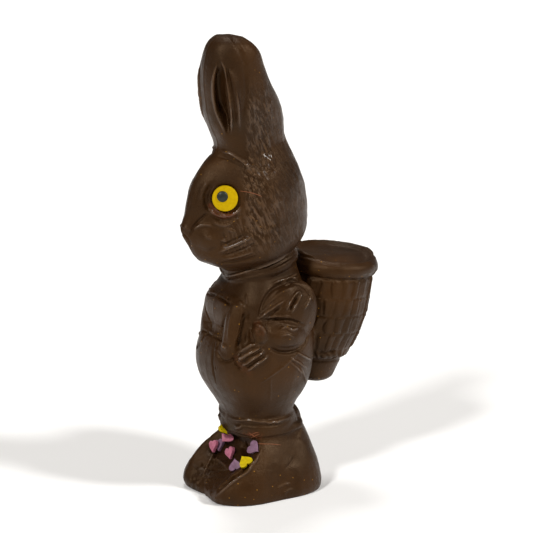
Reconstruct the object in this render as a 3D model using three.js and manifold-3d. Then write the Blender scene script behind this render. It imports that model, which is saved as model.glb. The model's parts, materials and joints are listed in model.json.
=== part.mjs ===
// A moulded chocolate rabbit, standing upright in a jacket and trousers, with a wicker basket on its back,
// two candy eyes and a few heart sprinkles scattered over its feet.
// Millimetres, +Z up. The rabbit faces -Y and its left side is +X. The origin lies on the flat underside.
// The mould has two mirrored halves that part on the plane X = 0, so each paired form is made once and mirrored.
import * as THREE from "three";
import { mergeVertices } from "three/addons/utils/BufferGeometryUtils.js";
import Module from "manifold-3d";

const wasm = await Module();
wasm.setup();

// Driving dimensions.

const height = 225.5; // to the tip of the ears
const baseHalfWidth = 28;
const headHalfWidth = 20.6;
const eyeAcross = 12.7;
const eyeThick = 3;
const pupilAcross = 5.2;
const heartAcross = 6.8;
const heartThick = 1.5;
const heartSink = 0.5; // how deep a heart sits in the chocolate
const clearance = 0.3; // between a candy eye, its pupil and the chocolate
const basketHeight = 65;
const basketLean = 6; // degrees, top away from the back
const basketSlant = 0.09; // how far each ring is set back for its height
const rimRadius = 21.2;
const stavesAround = 22;
const rightSideShift = [1.2, 1.4, 0]; // of the right paw and lapel, towards the middle and the back

// Helpers.

const TURN = 2 * Math.PI;
const radians = THREE.MathUtils.degToRad;
const clamp01 = (value) => THREE.MathUtils.clamp(value, 0, 1);

// 0 at from, 1 at to, eased at both ends; from may be the larger.
const smooth = (value, from, to) => {
  const t = clamp01((value - from) / (to - from));
  return t * t * (3 - 2 * t);
};

// 1 in the middle, falling smoothly to 0 where value reaches 1 or -1.
const hump = (value) => (Math.abs(value) < 1 ? (1 - value * value) ** 2 : 0);

// A smooth curve through a few stations: the first number of each is where it is, column says which size.
function along(stations, column) {
  const last = stations.length - 1;
  const slope = (k) => {
    const before = stations[Math.max(k - 1, 0)];
    const after = stations[Math.min(k + 1, last)];
    return (after[column] - before[column]) / (after[0] - before[0]);
  };
  return (z) => {
    if (z <= stations[0][0]) return stations[0][column];
    if (z >= stations[last][0]) return stations[last][column];
    const i = stations.findIndex((station) => station[0] >= z);
    const [low, high] = [stations[i - 1], stations[i]];
    const span = high[0] - low[0];
    const t = (z - low[0]) / span;
    const eased = t * t * (3 - 2 * t) * (high[column] - low[column]);
    const bend = t * (1 - t) * span * ((1 - t) * slope(i - 1) - t * slope(i));
    return low[column] + eased + bend;
  };
}

// A closed form: a sphere whose every vertex goes where place(angle, t) says, t running from its foot to its top.
function form(around, rings, place) {
  const sphere = new THREE.SphereGeometry(1, around, rings);
  const { position, uv } = sphere.attributes;
  for (let i = 0; i < position.count; i++) {
    const point = place(uv.getX(i) * TURN, uv.getY(i));
    position.setXYZ(i, point.x, point.y, point.z);
  }
  return sphere;
}

function solidOf(geometry) {
  const plain = geometry.clone();
  plain.deleteAttribute("normal");
  plain.deleteAttribute("uv");
  const merged = mergeVertices(plain, 1e-4);
  const corners = [];
  const index = merged.index.array;
  for (let i = 0; i < index.length; i += 3) {
    const [a, b, c] = index.slice(i, i + 3);
    if (a !== b && b !== c && c !== a) corners.push(a, b, c);
  }
  const vertProperties = merged.attributes.position.array;
  const build = (triVerts) => new wasm.Manifold(new wasm.Mesh({ numProp: 3, vertProperties, triVerts }));
  const solid = build(new Uint32Array(corners));
  return solid.volume() > 0 ? solid : build(new Uint32Array(corners.reverse()));
}

function geometryOf(solid) {
  const mesh = solid.getMesh();
  const geometry = new THREE.BufferGeometry();
  geometry.setAttribute("position", new THREE.BufferAttribute(new Float32Array(mesh.vertProperties), 3));
  geometry.setIndex(new THREE.BufferAttribute(new Uint32Array(mesh.triVerts), 1));
  geometry.computeVertexNormals();
  return geometry;
}

const mirrorX = new THREE.Matrix4().makeScale(-1, 1, 1);
const pair = (geometry) => [geometry, geometry.clone().applyMatrix4(mirrorX)];

// As pair, but the right one lies a little closer to the body.
const closerPair = (geometry) => [geometry, geometry.clone().applyMatrix4(mirrorX).translate(...rightSideShift)];

// A loft of rounded sections stacked along Z. Each station is
// [height, middle, half width, reach forward, reach back]; squareness 2 is an ellipse, more is squarer. The rings
// stand evenly, or gather towards the top.
function stack({ stations, around, rings, squareness = 2, roundFoot = 3, roundTop = 3, gather = 0, shape }) {
  const low = stations[0][0];
  const high = stations[stations.length - 1][0];
  const [middle, halfWidth, forward, back] = [1, 2, 3, 4].map((column) => along(stations, column));
  const curl = (value, power) => Math.sign(value) * Math.abs(value) ** power;
  return form(around, rings, (angle, t) => {
    const z = low + (high - low) * (t + gather * t * (1 - t));
    const foot = Math.sqrt(1 - (1 - clamp01((z - low) / roundFoot)) ** 2);
    const top = Math.sqrt(1 - (1 - clamp01((high - z) / roundTop)) ** 2);
    const [c, s] = [curl(Math.cos(angle), 2 / squareness), curl(Math.sin(angle), 2 / squareness)];
    const reach = s > 0 ? back(z) : forward(z);
    const point = { x: halfWidth(z) * c * foot * top, y: middle(z) + reach * s * foot * top, z };
    return shape ? shape(point) : point;
  });
}

// Raises the surface near some strokes, or sinks it where a rise is negative. A stroke is a line of places on the
// left half, how far it reaches to either side, its rise, and the share of the reach over which it falls away.
function relief(point, strokes) {
  const here = new THREE.Vector3(Math.abs(point.x), point.y, point.z);
  const nearest = new THREE.Vector3();
  let rise = 0;
  for (const stroke of strokes) {
    const places = stroke.line.map((place) => new THREE.Vector3(...place));
    let distance = Infinity;
    for (let i = 0; i < Math.max(places.length - 1, 1); i++) {
      new THREE.Line3(places[i], places[i + 1] ?? places[i]).closestPointToPoint(here, true, nearest);
      distance = Math.min(distance, nearest.distanceTo(here));
    }
    const flat = stroke.reach * (1 - (stroke.edge ?? 1));
    rise += stroke.rise * smooth(distance, stroke.reach, flat);
  }
  const push = 1 + rise / Math.hypot(point.x, point.y);
  return { x: point.x * push, y: point.y * push, z: point.z };
}

// An egg-shaped form at a place, turned by three angles in degrees.
function egg({ at, size, turn = [0, 0, 0], around = 14, rings = 10 }) {
  const geometry = new THREE.SphereGeometry(1, around, rings);
  geometry.scale(...size);
  geometry.applyMatrix4(new THREE.Matrix4().makeRotationFromEuler(new THREE.Euler(...turn.map(radians), "XYZ")));
  return geometry.translate(...at);
}

// A rounded roll that follows a smooth line through some places. Its radius swells from ends to middle,
// across it by wide and out of the body by deep.
function roll({ line, wide, deep = wide, slim = 0.7, around = 10, rings = 10 }) {
  const curve = new THREE.CatmullRomCurve3(line.map((place) => new THREE.Vector3(...place)));
  return form(around, rings, (angle, t) => {
    const here = curve.getPoint(t);
    const ahead = curve.getTangent(t);
    const out = new THREE.Vector3(here.x, here.y, 0).normalize();
    const across = new THREE.Vector3().crossVectors(ahead, out).normalize();
    out.crossVectors(across, ahead).normalize();
    const swell = Math.sqrt(1 - (2 * t - 1) ** 6) * (slim + (1 - slim) * Math.sin(Math.PI * t));
    return here
      .addScaledVector(across, Math.cos(angle) * wide * swell)
      .addScaledVector(out, Math.sin(angle) * deep * swell);
  });
}

// A closed band round the neck or a hem: a torus stretched to an oval, leaned about X and lifted.
function band({ halfWidth, halfLength, thick, tall, at, lean = 0, around = 30 }) {
  const torus = new THREE.TorusGeometry(1, thick / halfWidth, 6, around);
  torus.scale(halfWidth, halfLength, (tall / thick) * halfWidth);
  torus.rotateX(radians(lean));
  return torus.translate(...at);
}

// Base and feet.

// The mound spreads from the ankles to the base. A valley in front parts the two splayed feet.
function mound() {
  const moundTop = 40;
  const rings = 12; // the lowest is the outline of the flat underside
  const footRelief = [
    { line: [[18, -15, 22], [17, -22, 12], [15, -27, 4]], reach: 9, rise: 1.8 },
    { line: [[9, -12, 25], [12, -17, 17]], reach: 7, rise: -2 },
    { line: [[21, 14, 24], [25, 3, 12], [27, -2, 3]], reach: 6, rise: -1.8 },
  ];
  return stack({
    around: 36,
    rings,
    squareness: 3.3,
    roundFoot: 0.1,
    roundTop: 8,
    stations: [
      [-moundTop / (rings - 1), 1, baseHalfWidth - 1, 29.2, 30.2],
      [0, 1, baseHalfWidth - 1, 29.2, 30.2],
      [3.6, 1, baseHalfWidth - 0.4, 30.2, 31],
      [8, 1, baseHalfWidth - 1, 29, 30.4],
      [14, 1, 25.4, 24.2, 29.2],
      [20, 1, 22.8, 18.4, 27.4],
      [26, 1.6, 19.4, 13.6, 25],
      [32, 2, 17.2, 13, 22],
      [moundTop, 3, 14, 10, 17],
    ],
    shape: (p) => {
      const front = smooth(-p.y, 4, 16);
      const halfValley = 7 + 9.6 * smooth(p.z, 0, 24);
      const valley = smooth(Math.abs(p.x), halfValley + 3, halfValley - 3) * front;
      const depth = 6.6 * smooth(p.z, 0, 12) * smooth(p.z, 36, 28) + 1.4;
      const lowered = { x: p.x, y: p.y + depth * valley, z: Math.max(p.z, 0) };
      return relief(lowered, footRelief);
    },
  });
}

// A low lump of ground behind the ankles.
const heelLump = () => egg({ at: [0, 18.5, 32], size: [11, 7, 9], around: 10, rings: 7 });

// Trousers, jacket and arms.

function torso() {
  const vestTop = 100.5;
  const vestFoot = 86.5;
  const hemTop = 37;
  const hemFoot = 30;
  const jacketRelief = [
    { line: [[20, -15, 93], [21, -15, 84], [20, -17, 76]], reach: 6, rise: -2.4 },
    { line: [[24, -4, 66], [25, 6, 64]], reach: 12, rise: 1 },
  ];
  return stack({
    around: 36,
    rings: 28,
    squareness: 2.5,
    roundFoot: 1,
    stations: [
      [26, 2, 16.6, 13.6, 16],
      [33, 2, 16.8, 13.6, 17],
      [39, 2, 17.2, 15, 17.4],
      [45, 2, 20, 18.2, 18.8],
      [50, 2, 22.6, 21.4, 22.4],
      [56, 2, 24.8, 25, 25],
      [63, 2, 25.8, 27.2, 26.5],
      [70, 2, 26, 27.2, 27],
      [77, 2, 25.8, 25, 27],
      [83, 2, 25, 20.6, 26],
      [90, 2, 23.6, 19.2, 25],
      [97, 2, 22.4, 19.6, 23.6],
      [103, 2.4, 19.6, 16, 22],
      [109, 2.6, 16.2, 12.6, 20],
      [117, 3, 15, 12, 18],
    ],
    shape: (p) => {
      // The vest stands proud of the shirt above it and of the trousers below it.
      const top = vestTop - 0.22 * Math.abs(p.x);
      const front = smooth(-p.y, 8, 15);
      const vest = smooth(p.z, vestFoot - 1, vestFoot + 1) * smooth(p.z, top + 1.4, top - 0.4) * front;
      const hem = smooth(p.z, hemTop + 1, hemTop - 1) * smooth(p.z, hemFoot - 2, hemFoot);
      const push = 1 + (1.3 * vest + 1.3 * hem) / Math.hypot(p.x, p.y);
      return relief({ x: p.x * push, y: p.y * push, z: p.z }, jacketRelief);
    },
  });
}

// The vest's front swells between the lapels.
const vestFront = () =>
  stack({
    around: 20,
    rings: 9,
    squareness: 3.2,
    roundFoot: 3,
    roundTop: 4,
    stations: [
      [79, -6, 14, 12.6, 8],
      [85, -6, 15.6, 13.6, 8],
      [91, -6, 16.6, 15, 8],
      [97, -6, 16, 14.4, 8],
      [103, -6, 13, 11, 8],
    ],
  });

const collar = () => band({ halfWidth: 16.4, halfLength: 17.2, thick: 2.2, tall: 3, at: [0, 4.6, 112.8], lean: 14 });

// The jacket's open front hangs as a thick rounded lapel down each side of the belly.
const lapel = () =>
  roll({
    line: [
      [11.4, -15.2, 100],
      [13.8, -16.6, 90],
      [14, -18.2, 81],
      [11.8, -19.8, 71],
    ],
    wide: 5.6,
    deep: 3.6,
    slim: 0.9,
    around: 8,
    rings: 8,
  });

function arm() {
  const upper = egg({ at: [17.4, 10.8, 91.6], size: [9.6, 14.4, 15.2], turn: [-24, 0, -4], around: 13, rings: 9 });
  const fore = egg({ at: [20.6, 4.6, 81.6], size: [8.8, 12.4, 7.6], turn: [-4, 0, -2], around: 12, rings: 8 });
  return [upper, fore];
}

function hand() {
  const cuff = egg({ at: [20.6, -7.8, 84], size: [6, 5, 6.6], turn: [-14, 0, -18], around: 10, rings: 8 });
  const palm = egg({ at: [19.6, -10.6, 76], size: [5, 4.6, 6.8], turn: [-40, 0, -22], around: 10, rings: 8 });
  return [cuff, palm];
}

// The fingers of a paw lie side by side against the belly.
function fingers() {
  const count = 4;
  const pieces = [];
  for (let i = 0; i < count; i++) {
    const across = i - (count - 1) / 2;
    const root = [24, -8.4 + 1.5 * across, 77.4 - 1.9 * across];
    const tip = [20, -15.8 + 1.5 * across, 69 - 1.9 * across];
    const middle = [23.2, (root[1] + tip[1]) / 2, (root[2] + tip[2]) / 2];
    pieces.push(roll({ line: [root, middle, tip], wide: 1.5, deep: 2.6, around: 6, rings: 6 }));
  }
  return pieces;
}

// The basket's strap comes over the shoulder and down behind the arm.
const strap = () =>
  roll({
    line: [
      [16, 14, 107],
      [20.6, 20, 101],
      [21.4, 21.6, 90],
      [22, 18.6, 79],
    ],
    wide: 1.8,
    deep: 2.2,
    around: 6,
    rings: 9,
  });

// The jacket's lower edge sweeps back from the paw over the hip.
const jacketEdge = () =>
  roll({
    line: [
      [22.4, -9.4, 58.4],
      [24.6, -2, 63],
      [25, 5, 71],
      [24, 12.4, 76],
    ],
    wide: 1.5,
    deep: 1.8,
    around: 6,
    rings: 9,
  });

// Head and ears.

function head() {
  const cheekTaper = 0.46; // how much narrower the face is at the nose than at the cheeks
  const faceReach = 36;
  const faceRelief = [
    { line: [[12, -25, 149], [13.5, -21, 149]], reach: 10, rise: -1.5 },
    { line: [[9, -31, 140]], reach: 8, rise: -1.2 },
    { line: [[0, -37, 134]], reach: 7, rise: 1.6 },
    { line: [[0, -27, 119], [5, -25, 119]], reach: 8, rise: 1.4 },
    { line: [[17, -6, 126], [18, 2, 125]], reach: 12, rise: 1.2 },
  ];
  return stack({
    around: 32,
    rings: 23,
    roundFoot: 12,
    roundTop: 6,
    stations: [
      [108, -2, 16, 14, 19.5],
      [116, -2, 19.2, 24, 25],
      [123, -2, 20.2, 30.6, 29],
      [131, -2, headHalfWidth, 34.6, 31],
      [139, -2, headHalfWidth, 34, 31],
      [148, -2, headHalfWidth, 32, 30],
      [156, -2, 19, 29, 27.6],
      [165, -1, 14.8, 23, 22.4],
      [173, -1, 11, 15, 19],
      [182, -3, 9, 9, 17],
    ],
    shape: (p) => {
      const narrow = 1 - cheekTaper * clamp01(-(p.y + 2) / faceReach);
      const jawLift = 0.14 * Math.max(p.y + 12, 0) * smooth(p.z, 132, 110);
      return relief({ x: p.x * narrow, y: p.y, z: p.z + jawLift }, faceRelief);
    },
  });
}

// A whisker pad bulges on each side of the mouth.
const whiskerPad = () =>
  egg({ at: [3, -24, 130], size: [8.2, 9, 9.2], turn: [0, 0, 24], around: 12, rings: 8 });

// The brow: a ridge where the root of the ear meets the forehead.
const brow = () =>
  roll({
    line: [
      [7.4, -14.2, 167.4],
      [10.4, -12, 165.4],
      [13.8, -8.4, 162],
    ],
    wide: 1.7,
    around: 6,
    rings: 8,
  });

function ears() {
  return stack({
    around: 26,
    rings: 19,
    squareness: 2.2,
    roundFoot: 6,
    roundTop: 6,
    gather: 0.5,
    stations: [
      [152, -6, 17.6, 10, 24],
      [161, -7.4, 15.4, 8, 25],
      [170, -8, 13, 8.8, 25.4],
      [177, -8, 12.6, 12, 25],
      [185, -8, 13.4, 15.2, 24],
      [193, -8, 14, 16.4, 21],
      [201, -8, 14, 17.4, 16.4],
      [209, -8, 13, 17.2, 13],
      [217, -8, 12, 15.4, 10],
      [height, -11.8, 8.6, 7.2, 8],
    ],
    // The tips slope down to the back, with a nick between the front rim and the back.
    shape: (p) => {
      const tip = smooth(p.z, height - 12, height);
      const nick = 0.9 * hump((p.y + 12) / 3.5);
      return { x: p.x, y: p.y, z: p.z - tip * (0.15 * Math.max(p.y + 14, 0) + nick) };
    },
  });
}

const earHollow = () =>
  egg({ at: [11.8, -22.2, 196], size: [4.8, 6, 19.6], turn: [-9, 0, -36], around: 9, rings: 10 });

const earRim = () =>
  roll({
    line: [
      [10.6, -19.5, 212],
      [13.4, -16.6, 202],
      [13.8, -15, 191],
      [11.8, -14, 180],
    ],
    wide: 1.4,
    around: 6,
    rings: 10,
  });

// Basket.

// Each tall stave is two facets wide; a row of them is shifted half a stave from the row below.
function basket() {
  const relief = 0.6;
  const dish = 2.6;
  const groove = 0.05;
  // Height and radius of each ring; a woven ring also has its row.
  const rings = [
    { up: 0, radius: 0 },
    { up: 0, radius: 7.5 },
    { up: 2, radius: 10 },
    { up: 12.4, radius: 13 },
    { up: 14, radius: 15 },
  ];
  const rows = [17, 26, 35, 44, 52.5];
  const wallRadius = along([[17, 16], [26, 19], [35, 20.6], [44, 21], [52.5, 20.8]], 1);
  for (let row = 0; row < rows.length - 1; row++) {
    for (const up of [rows[row] + groove, rows[row + 1] - groove]) rings.push({ up, radius: wallRadius(up), row });
  }
  rings.push({ up: 54.5, radius: rimRadius });
  rings.push({ up: basketHeight - 2, radius: rimRadius + 0.3 });
  rings.push({ up: basketHeight, radius: rimRadius - 1.6 });
  rings.push({ up: basketHeight - dish, radius: rimRadius - 5 });
  rings.push({ up: basketHeight - dish, radius: 0 });
  const last = rings.length - 1;
  const shape = form(2 * stavesAround, last, (angle, t) => {
    const ring = rings[Math.round(t * last)];
    const facet = Math.round((angle / TURN) * 2 * stavesAround);
    const raised = ring.row === undefined ? 0 : relief * ((facet + ring.row) % 2 === 0 ? 1 : -1);
    const r = ring.radius + raised;
    return { x: r * Math.cos(angle), y: r * Math.sin(angle) + basketSlant * ring.up, z: ring.up };
  });
  shape.rotateX(radians(-basketLean));
  return shape.translate(0, 34.4, 49.8);
}

// Candy.

// Turns a form made along +Z so that it looks along a direction, and sets it at a place.
function facing(geometry, at, direction, spin = 0) {
  const z = new THREE.Vector3(...direction).normalize();
  const x = new THREE.Vector3(0, 0, 1).cross(z).normalize();
  const y = new THREE.Vector3().crossVectors(z, x);
  geometry.rotateZ(radians(spin));
  geometry.applyMatrix4(new THREE.Matrix4().makeBasis(x, y, z));
  return geometry.translate(...at);
}

const eyeAt = [12.6, -21.4, 149.2];
const eyeLooks = [0.85, -0.5, 0.14];
const pupilShift = [-1.2, 1, 0];

// A lathed candy disc with rounded edges and a gently domed face, grown by grow on all sides.
function disc(across, thick, grow, facets = 20) {
  const radius = across / 2 + grow;
  const half = thick / 2 + grow;
  const profile = [[0, -half], [radius - 0.6, -half], [radius, -half + 0.7], [radius, half - 0.9]];
  for (const [share, drop] of [[0.9, 0.45], [0.6, 0.15]]) profile.push([radius * share, half - drop]);
  profile.push([0, half]);
  const lathe = new THREE.LatheGeometry(profile.map(([x, y]) => new THREE.Vector2(x, y)), facets);
  return lathe.rotateX(Math.PI / 2);
}

const eyeForm = (grow) => facing(disc(eyeAcross, eyeThick, grow), eyeAt, eyeLooks);
const pupilForm = (grow) =>
  facing(disc(pupilAcross, 1.6, grow, 12).translate(pupilShift[0], pupilShift[1], 1.1), eyeAt, eyeLooks);

// Heart sprinkles. They are scattered from the left front: each is let down along that line past a point until it
// meets the chocolate, where it leans on its edge, lifted back along the line. Its turn is in degrees.
const scatterLine = new THREE.Vector3(0.83, -0.5, 0.26).normalize();
const hearts = [
  { past: [-4.4, -12.3, 29.8], faces: [0.73, 0.2, 0.66], turn: 11, lift: 0.8 },
  { past: [-12.1, -6.8, 22.7], faces: [0.71, -0.54, 0.45], turn: -41, lift: 5.6 },
  { past: [-14.3, -12.6, 18.3], faces: [-0.05, -0.97, 0.23], turn: 23, lift: 2.5 },
  { past: [-13, -10.3, 18.8], faces: [0.11, -0.94, 0.31], turn: 26, lift: 1.9 },
  { past: [-1.3, -10.9, 18.3], faces: [0.02, -0.97, 0.24], turn: 32, lift: 1.9 },
  { past: [7.8, -13.2, 15.3], faces: [0.4, -0.76, 0.51], turn: -157, lift: 4.2 },
  { past: [16.2, -12.9, 19.5], faces: [0.48, -0.52, 0.7], turn: -137, lift: 2.8 },
  { past: [14.1, -6.8, 24.6], faces: [0.29, -0.87, 0.39], turn: 71, lift: 2.4 },
];

function heartForm(ground, { past, faces, turn, lift }) {
  const half = heartAcross / 2;
  const outline = new THREE.Shape();
  outline.moveTo(0, -half);
  outline.bezierCurveTo(half * 0.7, -half * 0.45, half * 1.45, half * 0.6, half * 0.55, half * 0.85);
  outline.quadraticCurveTo(half * 0.15, half * 0.9, 0, half * 0.45);
  outline.quadraticCurveTo(-half * 0.15, half * 0.9, -half * 0.55, half * 0.85);
  outline.bezierCurveTo(-half * 1.45, half * 0.6, -half * 0.7, -half * 0.45, 0, -half);
  const heart = new THREE.ExtrudeGeometry(outline, { depth: heartThick, bevelEnabled: false, curveSegments: 3 });
  heart.translate(0, 0, -heartSink);
  const start = new THREE.Vector3(...past).addScaledVector(scatterLine, height);
  const [met] = new THREE.Raycaster(start, scatterLine.clone().negate()).intersectObject(ground);
  const at = met.point.addScaledVector(scatterLine, lift);
  return facing(heart, at.toArray(), faces, turn);
}

// The part.

const chocolateForms = [
  mound(),
  heelLump(),
  torso(),
  vestFront(),
  collar(),
  ...closerPair(lapel()),
  ...pair(strap()),
  ...pair(jacketEdge()),
  ...arm().flatMap(pair),
  ...hand().flatMap(closerPair),
  ...fingers().flatMap(closerPair),
  head(),
  ...pair(whiskerPad()),
  ...pair(brow()),
  ears(),
  basket(),
];
let chocolate = chocolateForms.map(solidOf).reduce((all, solid) => all.add(solid));
for (const cut of pair(earHollow())) chocolate = chocolate.subtract(solidOf(cut));
for (const ridge of pair(earRim())) chocolate = chocolate.add(solidOf(ridge));
for (const socket of pair(eyeForm(clearance))) chocolate = chocolate.subtract(solidOf(socket));
const ground = new THREE.Mesh(geometryOf(chocolate));
for (const heart of hearts) chocolate = chocolate.add(solidOf(heartForm(ground, heart)));
// Pockets that the joined forms shut in are filled: only the outer skin is kept.
chocolate = chocolate.decompose().reduce((a, b) => (a.volume() > b.volume() ? a : b));

const materials = {
  chocolate: new THREE.MeshStandardMaterial({ color: 0x422c1c, roughness: 0.42, metalness: 0 }),
  yellowCandy: new THREE.MeshStandardMaterial({ color: 0xcda70a, roughness: 0.5, metalness: 0 }),
  greyCandy: new THREE.MeshStandardMaterial({ color: 0x3b403a, roughness: 0.35, metalness: 0 }),
};

const group = new THREE.Group();

function addPiece(name, geometry, material) {
  const mesh = new THREE.Mesh(geometry, material);
  mesh.name = name;
  group.add(mesh);
}

addPiece("chocolate_rabbit", geometryOf(chocolate), materials.chocolate);
const sides = ["left", "right"];
for (const [i, eye] of pair(eyeForm(0)).entries()) {
  const seat = pair(pupilForm(clearance))[i];
  addPiece(`candy_eye_${sides[i]}`, geometryOf(solidOf(eye).subtract(solidOf(seat))), materials.yellowCandy);
}
for (const [i, pupil] of pair(pupilForm(0)).entries()) {
  addPiece(`candy_pupil_${sides[i]}`, geometryOf(solidOf(pupil)), materials.greyCandy);
}

export default group;
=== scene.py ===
import json
import math

import bpy
import numpy as np
from mathutils import Matrix, Vector
from mathutils.bvhtree import BVHTree

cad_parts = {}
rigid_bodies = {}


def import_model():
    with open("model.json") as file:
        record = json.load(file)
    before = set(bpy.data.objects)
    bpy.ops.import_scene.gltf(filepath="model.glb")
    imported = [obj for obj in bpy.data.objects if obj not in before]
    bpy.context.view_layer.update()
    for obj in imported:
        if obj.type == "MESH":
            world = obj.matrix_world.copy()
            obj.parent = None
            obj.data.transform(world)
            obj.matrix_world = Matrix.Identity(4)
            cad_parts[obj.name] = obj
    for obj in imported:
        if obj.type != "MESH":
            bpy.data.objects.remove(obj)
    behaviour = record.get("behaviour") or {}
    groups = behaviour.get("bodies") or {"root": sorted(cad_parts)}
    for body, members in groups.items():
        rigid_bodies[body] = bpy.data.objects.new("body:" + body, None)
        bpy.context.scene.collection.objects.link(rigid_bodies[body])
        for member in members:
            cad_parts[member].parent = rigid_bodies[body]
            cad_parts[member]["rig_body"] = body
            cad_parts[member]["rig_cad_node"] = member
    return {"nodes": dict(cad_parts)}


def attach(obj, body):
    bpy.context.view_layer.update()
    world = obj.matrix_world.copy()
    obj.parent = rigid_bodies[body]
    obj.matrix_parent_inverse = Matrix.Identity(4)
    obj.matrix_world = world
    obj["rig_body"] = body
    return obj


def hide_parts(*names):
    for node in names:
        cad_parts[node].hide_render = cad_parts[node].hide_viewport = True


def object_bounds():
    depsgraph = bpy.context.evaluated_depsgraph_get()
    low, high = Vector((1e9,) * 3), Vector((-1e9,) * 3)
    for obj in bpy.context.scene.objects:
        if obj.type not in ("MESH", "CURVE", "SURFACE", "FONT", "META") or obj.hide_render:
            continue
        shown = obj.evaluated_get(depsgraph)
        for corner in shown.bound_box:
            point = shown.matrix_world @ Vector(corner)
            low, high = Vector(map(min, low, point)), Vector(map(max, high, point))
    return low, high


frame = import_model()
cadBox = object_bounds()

mm = 0.001

# the photograph's camera; the strokes on the chocolate are drawn in its picture points
view = {
    "azimuth": 59.0,  # degrees from the rabbit's front round to its left side
    "elevation": 15.0,
    "distance": 1.2,
    "target": (0.0, 0.0087, 0.1095),
    "focal": 2500.0,  # in picture points
    "size": 533,  # picture points across and down
    "sensor": 36.0,  # millimetres
    "farthest": 20.0,
}

azimuth, elevation = math.radians(view["azimuth"]), math.radians(view["elevation"])
viewRight = np.array([math.cos(azimuth), math.sin(azimuth), 0.0])
viewBack = np.array([
    math.sin(azimuth) * math.cos(elevation),
    -math.cos(azimuth) * math.cos(elevation),
    math.sin(elevation),
])
viewUp = np.cross(viewBack, viewRight)
lensPoint = np.array(view["target"]) + viewBack * view["distance"]


def deselectAll():
    if bpy.context.mode != "OBJECT":
        bpy.ops.object.mode_set(mode="OBJECT")
    bpy.ops.object.select_all(action="DESELECT")


def makeActive(piece):
    deselectAll()
    piece.select_set(True)
    bpy.context.view_layer.objects.active = piece


def placeCamera():
    bpy.ops.object.camera_add(location=lensPoint)
    camera = bpy.context.object
    camera.name = "photoCamera"
    camera.rotation_euler = Vector(viewBack).to_track_quat("Z", "Y").to_euler()
    camera.data.sensor_width = view["sensor"]
    camera.data.lens = view["sensor"] * view["focal"] / view["size"]
    camera.data.clip_end = view["farthest"]
    bpy.context.scene.camera = camera


class Wire:  # a shader socket that can be used in plain sums
    def __init__(self, tree, socket=None):
        self.tree = tree
        self.socket = socket

    def node(self, kind, settings=None, inputs=None, out=0):
        made = self.tree.nodes.new(kind)
        for name, value in (settings or {}).items():
            setattr(made, name, value)
        for name, value in (inputs or {}).items():
            socket = made.inputs[name]
            if isinstance(value, Wire):
                self.tree.links.new(value.socket, socket)
            else:
                socket.default_value = value
        return Wire(self.tree, made.outputs[out])

    def sum(self, operation, first, second):
        return self.node("ShaderNodeMath", {"operation": operation}, {0: first, 1: second})

    def __add__(self, other):
        return self.sum("ADD", self, other)

    def __radd__(self, other):
        return self.sum("ADD", other, self)

    def __sub__(self, other):
        return self.sum("SUBTRACT", self, other)

    def __rsub__(self, other):
        return self.sum("SUBTRACT", other, self)

    def __mul__(self, other):
        return self.sum("MULTIPLY", self, other)

    def __rmul__(self, other):
        return self.sum("MULTIPLY", other, self)

    def above(self, low, high):  # 0 below low, 1 above high, eased between
        settings = {"interpolation_type": "SMOOTHSTEP"}
        return self.node("ShaderNodeMapRange", settings, {0: self, 1: low, 2: high, 3: 0.0, 4: 1.0})

    def mix(self, amount, first, second):
        inputs = {0: amount, 6: first, 7: second}
        return self.node("ShaderNodeMix", {"data_type": "RGBA", "clamp_factor": True}, inputs, out=2)

    def layer(self, name):  # a value kept on the mesh's points
        return self.node("ShaderNodeAttribute", {"attribute_name": name}, out=2)

    def noise(self, place, scale, detail, roughness):
        inputs = {"Vector": place, "Scale": scale, "Detail": detail, "Roughness": roughness}
        return self.node("ShaderNodeTexNoise", {}, inputs)


def newMaterial(name):
    material = bpy.data.materials.new(name)
    material.use_nodes = True
    tree = material.node_tree
    return material, Wire(tree), tree.nodes["Principled BSDF"].inputs


def feed(wire, socket):
    wire.tree.links.new(wire.socket, socket)


def rgb(red, green, blue):  # screen values 0 to 255 as a shader colour
    shares = [value / 255 for value in (red, green, blue)]
    linear = [share / 12.92 if share < 0.04 else ((share + 0.055) / 1.055) ** 2.4 for share in shares]
    return (*linear, 1.0)


chocolate = {
    "weld": 0.01 * mm,
    "voxel": 0.5 * mm,
    "smoothing": 0.5,
    "firstRounds": 22,  # of the facets, before the strokes
    "lastRounds": 1,
    "firmFoot": 1.5 * mm,  # the lowest part keeps its form
    "triangles": 190000,
}


def copyNode(name, newName):
    source = frame["nodes"][name]
    makeActive(source)
    bpy.ops.object.duplicate()
    piece = bpy.context.object
    piece.name = newName
    piece.data.name = newName
    piece.data.materials.clear()
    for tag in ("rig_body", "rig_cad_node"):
        if tag in piece:
            del piece[tag]
    piece.parent = None
    piece.matrix_world = Matrix.Identity(4)
    bpy.ops.object.mode_set(mode="EDIT")
    bpy.ops.mesh.select_all(action="SELECT")
    bpy.ops.mesh.remove_doubles(threshold=chocolate["weld"])
    bpy.ops.object.mode_set(mode="OBJECT")
    return piece


def applyModifier(piece, kind, **settings):
    makeActive(piece)
    modifier = piece.modifiers.new(kind.lower(), kind)
    for name, value in settings.items():
        setattr(modifier, name, value)
    bpy.ops.object.modifier_apply(modifier=modifier.name)


def places(piece):
    flat = np.empty(len(piece.data.vertices) * 3, np.float32)
    piece.data.vertices.foreach_get("co", flat)
    return flat.reshape(-1, 3).astype(float)


def normals(piece):
    flat = np.empty(len(piece.data.vertices) * 3, np.float32)
    piece.data.vertex_normals.foreach_get("vector", flat)
    return flat.reshape(-1, 3).astype(float)


def setPlaces(piece, points):
    piece.data.vertices.foreach_set("co", points.astype(np.float32).ravel())
    piece.data.update()


def ease(values, low, high):
    share = np.clip((values - low) / (high - low), 0.0, 1.0)
    return share * share * (3 - 2 * share)


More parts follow.
